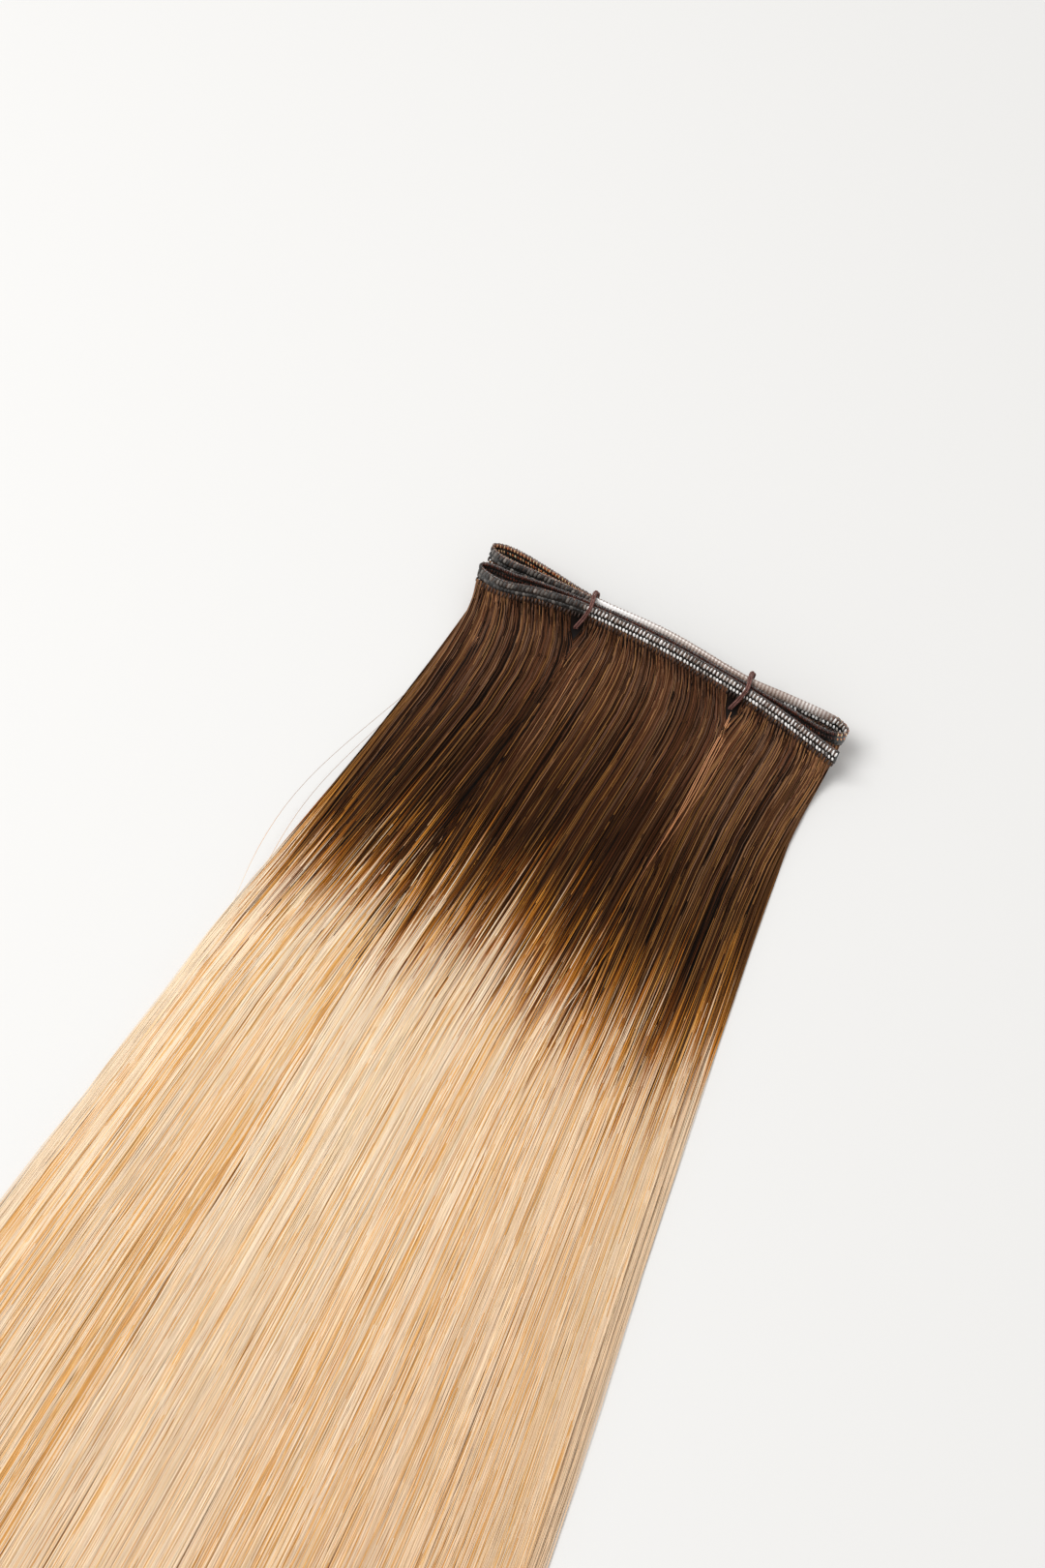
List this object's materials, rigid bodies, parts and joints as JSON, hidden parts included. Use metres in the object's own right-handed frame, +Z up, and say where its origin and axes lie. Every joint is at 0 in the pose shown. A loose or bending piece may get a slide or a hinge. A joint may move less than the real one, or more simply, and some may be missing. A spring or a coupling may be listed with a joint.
{
  "type": "hair weft",
  "caption": "Machine-sewn hair weft with dark roots and blonde lengths, its coated track folded to and fro and tied into a bundle, lying flat, for sewing in as a hair extension.",
  "frame": {"origin": "on the surface that the weft lies on, under the middle of its outline", "axes": "+X along the folded track, +Y from the hair's ends to the track, +Z up"},
  "size_m": [0.2033, 0.46, 0.0184],
  "materials": {
    "track": "dark stitched weft track under a clear flexible coating",
    "hair": "straight hair, dark brown at the root and honey blonde along its length",
    "thread": "twisted reddish brown sewing thread"
  },
  "bodies": {
    "root": {"weft_band": "track", "hair_back": "hair", "hair_second": "hair", "hair_third": "hair", "hair_front": "hair", "thread_tie_left": "thread", "thread_tie_right": "thread"}
  },
  "joints": []
}
